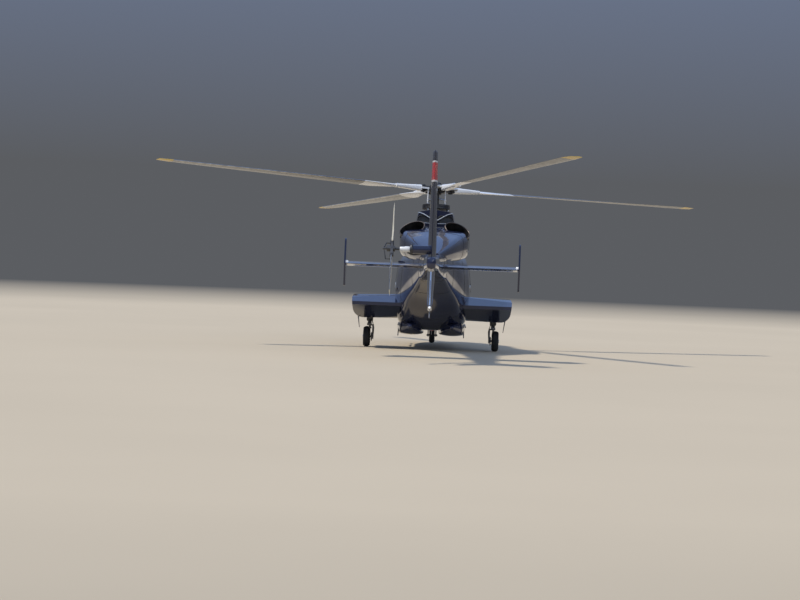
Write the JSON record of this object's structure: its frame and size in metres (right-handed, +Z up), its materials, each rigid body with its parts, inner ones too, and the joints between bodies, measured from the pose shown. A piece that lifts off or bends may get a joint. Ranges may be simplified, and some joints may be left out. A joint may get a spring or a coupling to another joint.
{
  "type": "twin-engine helicopter",
  "caption": "Twin-engine helicopter with main and tail rotors, retractable-type wheeled gear in stub sponsons, hinged doors and a glazed hollow cabin.",
  "frame": {"origin": "on the ground below the middle of the whole outline, rotor blades as parked included", "axes": "+X towards the nose, +Y to the aircraft's left, +Z up"},
  "size_m": [14.7733, 11.6734, 4.0619],
  "materials": {
    "airframe_paint": "gloss",
    "tinted_glass": "gloss",
    "cabin_trim": "matte",
    "seat_cloth": "satin",
    "exhaust_metal": "satin",
    "casting": "satin",
    "bay_paint": "satin",
    "bare_steel": "satin",
    "blade_paint": "satin",
    "tail_blade_paint": "satin",
    "gear_paint": "satin",
    "tyre_rubber": "matte",
    "rim_metal": "satin"
  },
  "bodies": {
    "airframe": {"nose_shell": "airframe_paint", "belly_shell": "airframe_paint", "cabin_side_left": "airframe_paint", "cabin_side_right": "airframe_paint", "cabin_roof": "airframe_paint", "aft_fuselage": "airframe_paint", "pylon_fairing": "airframe_paint", "engine_cowling": "airframe_paint", "tail_boom": "airframe_paint", "upper_fin": "airframe_paint", "ventral_fin": "airframe_paint", "stabilizer": "airframe_paint", "end_plates": "airframe_paint", "sponsons": "airframe_paint", "belly_fairings": "airframe_paint", "gear_doors": "airframe_paint", "windshield": "tinted_glass", "cabin_windows": "tinted_glass", "cabin_floor": "cabin_trim", "bulkheads": "cabin_trim", "crew_seats": "seat_cloth", "cabin_seats": "seat_cloth", "instrument_panel": "cabin_trim", "exhausts": "exhaust_metal", "main_gearbox": "casting", "engines": "casting", "swashplate_fixed": "casting", "nose_wheel_bay": "bay_paint", "tail_gearbox": "casting", "main_legs": "gear_paint", "nose_leg": "gear_paint", "jack_pads": "bare_steel"},
    "main_rotor": {"rotor_mast": "bare_steel", "rotor_hub": "bare_steel", "blade_cuffs": "bare_steel", "main_blades": "blade_paint"},
    "tail_rotor": {"tail_rotor_hub": "bare_steel", "tail_blades": "tail_blade_paint"},
    "main_wheel_left": {"main_tyre_left": "tyre_rubber", "main_rim_left": "rim_metal"},
    "main_wheel_right": {"main_tyre_right": "tyre_rubber", "main_rim_right": "rim_metal"},
    "nose_caster": {"nose_fork": "gear_paint"},
    "nose_wheel": {"nose_tyre": "tyre_rubber", "nose_rim": "rim_metal"},
    "crew_door_left": {"crew_door_left": "airframe_paint", "crew_door_glass_left": "tinted_glass"},
    "crew_door_right": {"crew_door_right": "airframe_paint", "crew_door_glass_right": "tinted_glass"},
    "cabin_door_left": {"cabin_door_left": "airframe_paint", "cabin_door_glass_left": "tinted_glass"},
    "cabin_door_right": {"cabin_door_right": "airframe_paint", "cabin_door_glass_right": "tinted_glass"},
    "baggage_door": {"baggage_door": "airframe_paint"}
  },
  "joints": [
    {"name": "main_rotor_turn", "type": "hinge", "parent": "airframe", "child": "main_rotor", "pos_m": [1.5571, 0, 3.45], "axis": [0.0872, 0, 0.9962], "continuous": true},
    {"name": "tail_rotor_turn", "type": "hinge", "parent": "airframe", "child": "tail_rotor", "pos_m": [-6.2929, 0.75, 2.12], "axis": [0, 1, 0], "continuous": true},
    {"name": "main_wheel_left_roll", "type": "hinge", "parent": "airframe", "child": "main_wheel_left", "pos_m": [1.1571, 1.385, 0.22], "axis": [0, 1, 0], "continuous": true},
    {"name": "main_wheel_right_roll", "type": "hinge", "parent": "airframe", "child": "main_wheel_right", "pos_m": [1.1571, -1.385, 0.22], "axis": [0, 1, 0], "continuous": true},
    {"name": "nose_caster_swivel", "type": "hinge", "parent": "airframe", "child": "nose_caster", "pos_m": [5.0771, 0, 0.42], "axis": [0, 0, 1], "range_deg": [-60, 60]},
    {"name": "nose_wheel_roll", "type": "hinge", "parent": "nose_caster", "child": "nose_wheel", "pos_m": [5.0071, 0, 0.18], "axis": [0, 1, 0], "continuous": true},
    {"name": "crew_door_left_swing", "type": "hinge", "parent": "airframe", "child": "crew_door_left", "pos_m": [4.5421, 0.722, 1.3], "axis": [0, 0, 1], "range_deg": [-80, 0]},
    {"name": "crew_door_right_swing", "type": "hinge", "parent": "airframe", "child": "crew_door_right", "pos_m": [4.5421, -0.722, 1.3], "axis": [0, 0, 1], "range_deg": [0, 80]},
    {"name": "cabin_door_left_swing", "type": "hinge", "parent": "airframe", "child": "cabin_door_left", "pos_m": [3.2571, 0.82, 1.3], "axis": [0, 0, 1], "range_deg": [-80, 0]},
    {"name": "cabin_door_right_swing", "type": "hinge", "parent": "airframe", "child": "cabin_door_right", "pos_m": [3.2571, -0.82, 1.3], "axis": [0, 0, 1], "range_deg": [0, 80]},
    {"name": "baggage_door_lift", "type": "hinge", "parent": "airframe", "child": "baggage_door", "pos_m": [0.5221, 0.745, 1.83], "axis": [1, 0, 0], "range_deg": [0, 80]}
  ]
}
